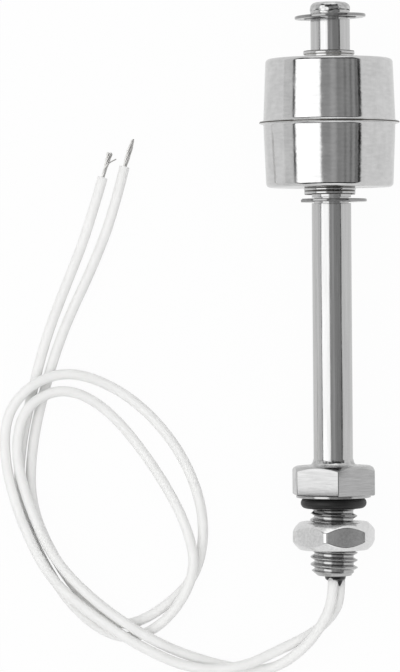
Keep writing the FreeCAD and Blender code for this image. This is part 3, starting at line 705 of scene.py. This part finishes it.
class FLOATSWITCH_OT_stem(bpy.types.Operator):
    """Make the stem with its grooves, and the plug welded into its tip"""

    bl_idname = "floatswitch.stem"
    bl_label = "Stem"

    def execute(self, context):
        radius = context.scene.switch_sizes.stem / MM / 2
        bore, high = 3.0, 98.3
        floor, half = 3.5, 0.6
        outline = [(bore, SOCKET_FLOOR), (radius, SOCKET_FLOOR)]
        for place in (LOWER_CLIP, UPPER_CLIP):
            outline += [
                (radius, place - half), (floor, place - half), (floor, place + half), (radius, place + half)
            ]
        outline += [(radius, high), (bore, high)]
        groove_edges = (2, 5, 6, 9)
        bm = turned(outline, {number: 0.06 for number in groove_edges})
        finished(bm, "stem_body", "polished_stainless", "stem", ["stem_tube"])

        bm = turned(
            [(0, 95.1), (2.98, 95.1), (2.98, high), (4.0, high), (4.1, 98.6), (4.1, 100), (0, 100)],
            {4: 0.1, 5: 1.25}, closed=False,
        )
        self.set_unevenly(bm)
        finished(bm, "tip_weld", "polished_stainless", "stem", ["tip_plug"], finish=welded_stainless)
        return {"FINISHED"}

    def set_unevenly(self, bm):
        """Gives the weld round the tip the uneven foot and the low blobs of a bead laid by hand."""
        spigot, foot = 2.99 * MM, 98.8 * MM
        for vert in bm.verts:
            if vert.co.xy.length > spigot:
                if vert.co.z < foot:
                    vert.co.z += (0.7 * noise.noise(vert.co / MM * 0.7) - 0.1) * MM
                vert.co.xy *= 1 + 0.02 * noise.noise(vert.co / MM * 1.1)


class FLOATSWITCH_OT_float(bpy.types.Operator):
    """Make the float: two drawn cups, the seam between them and the rolled ends of its inner tube"""

    bl_idname = "floatswitch.float"
    bl_label = "Float"

    def execute(self, context):
        sizes = context.scene.switch_sizes
        seam, end, flange = (size / MM / 2 for size in (sizes.seam, sizes.float_end, sizes.flange))
        hole, sheet = 4.97, 0.25
        for name, up, top, node in (
            ("upper_cup", sheet, 88.55, "float_upper_cup"), ("lower_cup", -sheet, 62.5, "float_lower_cup")
        ):
            bm = turned(
                [(seam - sheet, SEAM), (flange, SEAM), (flange, SEAM + up), (seam, SEAM + up), (end, top),
                 (hole, top), (hole, top - up), (end - sheet, top - up)],
                {2: 0.1, 3: 0.45, 4: 0.8, 7: 0.6},
            )
            self.lean(bm)
            finished(bm, name, "polished_stainless", "float", [node], finish=drawn_stainless)

        bore, outside = 4.7, 4.95
        bm = turned(
            [(bore, 61.05), (5.2, 61.05), (5.2, 61.72), (outside, 61.72), (outside, 61.8), (5.25, 61.8),
             (5.25, 62.45), (outside, 62.45), (outside, 89.35), (5.22, 89.35), (5.22, 90.1), (bore, 90.1)],
            {1: 0.26, 2: 0.2, 5: 0.26, 6: 0.26, 9: 0.25, 10: 0.3, 11: 0.12, 0: 0.12},
        )
        self.lean(bm)
        finished(bm, "inner_tube", "polished_stainless", "float", ["float_bore_tube"])
        self.rim_shade_lines(flange)
        return {"FINISHED"}

    def rim_shade_lines(self, flange):
        """Thin dark rings at the seam's flange and at the rolled rims of the inner tube: painted shade and
        painted reflection of the dark studio, and at the seam also the flange's raw edge.
        """
        lines = bmesh.new()
        # Painted shade: each ring is a dark band laid on a rim where the rim looks dark from shade and
        # reflection.
        for radius, place, half in (
            (flange - 0.06, SEAM, 0.13), (5.07, 62.47, 0.09), (5.07, 61.77, 0.09), (5.05, 61.1, 0.08),
            (5.02, 88.7, 0.12), (5.06, 90.05, 0.09),
        ):
            inside, outside, low, high = radius - half, radius + half, place - half, place + half
            ring = turned(
                [(inside, low), (outside, low), (outside, high), (inside, high)],
                {number: half * 0.6 for number in (1, 2)},
            )
            mesh = bpy.data.meshes.new("ring")
            ring.to_mesh(mesh)
            ring.free()
            lines.from_mesh(mesh)
            bpy.data.meshes.remove(mesh)
        self.lean(lines)
        finished(lines, "rim_shade_lines", "polished_stainless", "float", finish=painted_rim_shade)

    def lean(self, bm):
        """Lets the float rest against one side of the stem, within the play of its bore."""
        play = 0.3 * MM
        bmesh.ops.translate(bm, verts=bm.verts, vec=(-play, 0, 0))


class FLOATSWITCH_OT_stops(bpy.types.Operator):
    """Make the two spring clips that stop the float"""

    bl_idname = "floatswitch.stops"
    bl_label = "Stops"

    def execute(self, context):
        for name, place, tilt in (("upper_clip", UPPER_CLIP, -3.0), ("lower_clip", LOWER_CLIP, 0.0)):
            bm = bmesh.new()
            bm.from_mesh(frame["nodes"][name].data)
            bmesh.ops.remove_doubles(bm, verts=bm.verts, dist=0.002 * MM)
            bmesh.ops.transform(bm, matrix=LAID.inverted(), verts=bm.verts)
            bmesh.ops.dissolve_limit(bm, angle_limit=math.radians(1), verts=bm.verts, edges=bm.edges)
            middle = Matrix.Translation((0, 0, place * MM))
            thin = Matrix.Diagonal((1, 1, 0.65, 1))
            lean = Matrix.Rotation(math.radians(tilt), 4, "Y")
            bmesh.ops.transform(bm, matrix=middle @ lean @ thin @ middle.inverted(), verts=bm.verts)
            rounded_edges(bm, 0.14, 3, sharper=50)
            finished(bm, f"{name}_spring", "spring_stainless", "stem", [name])
        return {"FINISHED"}


class FLOATSWITCH_OT_seal(bpy.types.Operator):
    """Make the O-ring, pressed up against the hexagon"""

    bl_idname = "floatswitch.seal"
    bl_label = "Seal"

    def execute(self, context):
        cord, ring, place = 1.1 * MM, 5.6 * MM, -1.6 * MM
        bm = bmesh.new()
        bmesh.ops.create_circle(bm, segments=32, radius=cord)
        bmesh.ops.rotate(bm, verts=bm.verts, cent=(0, 0, 0), matrix=Matrix.Rotation(math.pi / 2, 3, "X"))
        bmesh.ops.translate(bm, verts=bm.verts, vec=(ring, 0, place))
        bmesh.ops.spin(
            bm, geom=bm.verts[:] + bm.edges[:], cent=(0, 0, 0), axis=(0, 0, 1), dvec=(0, 0, 0),
            angle=2 * math.pi, steps=context.scene.switch_sizes.steps, use_merge=True,
        )
        finished(bm, "seal_ring", "nitrile_rubber", "stem", ["o_ring"])
        return {"FINISHED"}


class FLOATSWITCH_OT_potting(bpy.types.Operator):
    """Make the resin that closes the shank round the leads"""

    bl_idname = "floatswitch.potting"
    bl_label = "Potting"

    def execute(self, context):
        bore, top = 2.95, -10
        bm = turned(
            [(0, top), (bore, top), (bore, -16.3), (2.35, -16.5), (2.25, -17.1), (1.6, -17.5), (0, -17.6)],
            {3: 0.2, 4: 0.2, 5: 0.3}, closed=False,
        )
        # The dome that stands out of the shank set a little to one side.
        for vert in bm.verts:
            if vert.co.z < -16.35 * MM:
                vert.co.x = vert.co.x * 0.92 + 0.25 * MM
        finished(bm, "cast_resin_plug", "epoxy", "stem", ["potting_plug"])
        self.web()
        return {"FINISHED"}

    def web(self):
        """The resin that crept down between the leads, to a point."""
        bm = bmesh.new()
        bmesh.ops.create_cone(
            bm, cap_ends=True, cap_tris=False, segments=24, radius1=1.15 * MM, radius2=0.1 * MM,
            depth=2.4 * MM,
        )
        bmesh.ops.rotate(bm, verts=bm.verts, cent=(0, 0, 0), matrix=Matrix.Rotation(math.pi, 3, "X"))
        bmesh.ops.translate(bm, verts=bm.verts, vec=(1.1 * MM, -0.75 * MM, -17.35 * MM))
        finished(bm, "resin_web", "epoxy", "stem")


class FLOATSWITCH_OT_frame_pieces(bpy.types.Operator):
    """Give the pieces that stay as they are in the frame their finishes"""

    bl_idname = "floatswitch.frame_pieces"
    bl_label = "Frame pieces"

    def execute(self, context):
        for part in frame["record"]["subparts"]:
            node = frame["nodes"][part["node"]]
            node.data.materials.clear()
            node.data.materials.append(finish_for(part["material_slot"]))
        return {"FINISHED"}


class FLOATSWITCH_OT_stage(bpy.types.Operator):
    """Lay the table and light it"""

    bl_idname = "floatswitch.stage"
    bl_label = "Stage"

    def execute(self, context):
        bm = bmesh.new()
        bmesh.ops.create_grid(bm, x_segments=1, y_segments=1, size=3.0)
        mesh = bpy.data.meshes.new("table")
        bm.to_mesh(mesh)
        bm.free()
        table = bpy.data.objects.new("table", mesh)
        context.scene.collection.objects.link(table)
        mesh.materials.append(self.table_top(context.scene.switch_colours.table))
        self.room(context.scene)
        return {"FINISHED"}

    def table_top(self, colour):
        """White card that keeps shadows. Each kind of ray that meets it sees it lifted towards white."""
        material = bpy.data.materials.new("white_card")
        material.use_nodes = True
        tree = material.node_tree
        tree.nodes.clear()
        path = add_node(tree, "ShaderNodeLightPath")
        lift = 0.0
        for ray, share in (("Camera", 0.96), ("Glossy", 0.6), ("Transmission", 0.6), ("Diffuse", 0.5)):
            part = add_node(
                tree, "ShaderNodeMath", {0: path.outputs[f"Is {ray} Ray"], 1: share}, operation="MULTIPLY"
            ).outputs["Value"]
            lift = add_node(tree, "ShaderNodeMath", {0: part, 1: lift}, operation="MAXIMUM").outputs["Value"]
        paper = add_node(tree, "ShaderNodeBsdfDiffuse", {"Color": list(colour)})
        glow = add_node(tree, "ShaderNodeEmission", {"Color": (1, 1, 1, 1), "Strength": 1.0})
        mix = add_node(
            tree, "ShaderNodeMixShader",
            {"Fac": lift, 1: paper.outputs["BSDF"], 2: glow.outputs["Emission"]},
        )
        add_node(tree, "ShaderNodeOutputMaterial", {"Surface": mix.outputs["Shader"]})
        return material

    def room(self, scene):
        """A studio tent: polished metal mirrors a bright panel and a grey one, each with a dark border,
        and matte pieces get an even light from overhead and a little from the left."""
        world = bpy.data.worlds.new("studio_tent")
        world.use_nodes = True
        scene.world = world
        tree = world.node_tree
        tree.nodes.clear()
        place = add_node(tree, "ShaderNodeTexCoord")
        part = add_node(tree, "ShaderNodeSeparateXYZ", {"Vector": place.outputs["Generated"]})
        angle = add_node(
            tree, "ShaderNodeMath", {0: part.outputs["X"], 1: part.outputs["Z"]}, operation="ARCTAN2"
        )
        share = add_node(
            tree, "ShaderNodeMapRange",
            {"Value": angle.outputs["Value"], "From Min": -math.pi, "From Max": math.pi},
        )
        # Between the tent's left and right sides: a bright panel and a grey one with folds, their dark
        # borders beyond the panels' ends, and the tent's bright ends beyond those.
        between = (
            [(-68.8, 0.04), (-65.2, 0.04), (-64.0, 1.8), (-18.5, 1.7), (-16.5, 0.38), (-2, 0.38), (3, 0.5),
             (9, 0.46), (13, 0.29), (23, 0.36), (26.5, 0.2), (29, 0.36), (34, 0.36), (37, 0.14), (39.5, 0.36),
             (43, 0.42), (46.5, 0.12), (49, 0.36), (51.2, 0.01), (55.5, 0.01)],
            [(-68, 0.05), (55, 0.04)],
            [(-60, 1.35), (48, 1.35)],
        )
        left, right = [(-180, 0.78), (-70, 0.76)], [(57, 0.9), (180, 0.9)]
        panels, border, ends = (
            self.tones(tree, share.outputs["Result"], [*left, *stops, *right]) for stops in between
        )
        off_side = add_node(tree, "ShaderNodeMath", {0: part.outputs["Y"]}, operation="ABSOLUTE")
        tone, soft = panels, 0.02
        for start, beyond in ((0.42, border), (0.82, ends)):
            step = add_node(
                tree, "ShaderNodeMapRange",
                {"Value": off_side.outputs["Value"], "From Min": start - soft, "From Max": start + soft},
            )
            tone = add_node(
                tree, "ShaderNodeMix", {0: step.outputs["Result"], 6: tone, 7: beyond}, data_type="RGBA",
            ).outputs[2]
        mirrored = add_node(tree, "ShaderNodeBackground", {"Color": tone, "Strength": 2.0})
        lean = add_node(
            tree, "ShaderNodeVectorMath", {0: place.outputs["Generated"], 1: (-0.25, 0, 0.85)},
            operation="DOT_PRODUCT",
        )
        even = add_node(tree, "ShaderNodeMath", {0: lean.outputs["Value"], 1: 0.45}, operation="ADD")
        plain = add_node(
            tree, "ShaderNodeBackground", {"Color": (1, 1, 1, 1), "Strength": even.outputs["Value"]}
        )
        wall = add_node(tree, "ShaderNodeBackground", {"Color": (1, 1, 1, 1), "Strength": 1.0})
        path = add_node(tree, "ShaderNodeLightPath")
        light = mirrored.outputs["Background"]
        for ray, other in (("Diffuse", plain), ("Camera", wall)):
            light = add_node(
                tree, "ShaderNodeMixShader",
                {"Fac": path.outputs[f"Is {ray} Ray"], 1: light, 2: other.outputs["Background"]},
            ).outputs["Shader"]
        add_node(tree, "ShaderNodeOutputWorld", {"Surface": light})

    def tones(self, tree, share, stops):
        """A ramp of greys round the tent, from stops of degrees from overhead and strength.

        It holds half of each strength, and the background doubles it."""
        ramp = add_node(tree, "ShaderNodeValToRGB", {"Fac": share})
        elements = ramp.color_ramp.elements
        for degrees, strength in stops:
            position = (degrees + 180) / 360
            at_end = {-180: elements[0], 180: elements[-1]}
            element = at_end[degrees] if degrees in at_end else elements.new(position)
            element.color = (strength / 2, strength / 2, strength / 2, 1)
        return ramp.outputs["Color"]


OPERATORS = (
    FLOATSWITCH_OT_camera, FLOATSWITCH_OT_leads, FLOATSWITCH_OT_mounting_body, FLOATSWITCH_OT_lock_nut,
    FLOATSWITCH_OT_stem, FLOATSWITCH_OT_float, FLOATSWITCH_OT_stops, FLOATSWITCH_OT_seal,
    FLOATSWITCH_OT_potting, FLOATSWITCH_OT_frame_pieces, FLOATSWITCH_OT_stage,
)


class FLOATSWITCH_PT_sidebar(bpy.types.Panel):
    """The switch's sizes, colours and pieces"""

    bl_label = "Float Switch"
    bl_idname = "FLOATSWITCH_PT_sidebar"
    bl_space_type = "VIEW_3D"
    bl_region_type = "UI"
    bl_category = "Float Switch"

    def draw(self, context):
        layout = self.layout
        for group in (context.scene.switch_sizes, context.scene.switch_colours):
            for name in group.__annotations__:
                layout.prop(group, name)
        for operator in OPERATORS:
            layout.operator(operator.bl_idname)


CLASSES = (SwitchSizes, SwitchColours, *OPERATORS, FLOATSWITCH_PT_sidebar)


def register():
    for each in CLASSES:
        bpy.utils.register_class(each)
    bpy.types.Scene.switch_sizes = PointerProperty(type=SwitchSizes)
    bpy.types.Scene.switch_colours = PointerProperty(type=SwitchColours)


def unregister():
    del bpy.types.Scene.switch_colours
    del bpy.types.Scene.switch_sizes
    for each in reversed(CLASSES):
        bpy.utils.unregister_class(each)


def main():
    register()
    bpy.context.scene.view_settings.view_transform = "Standard"
    for operator in OPERATORS:
        family, name = operator.bl_idname.split(".")
        getattr(getattr(bpy.ops, family), name)()


if __name__ == "__main__":
    main()
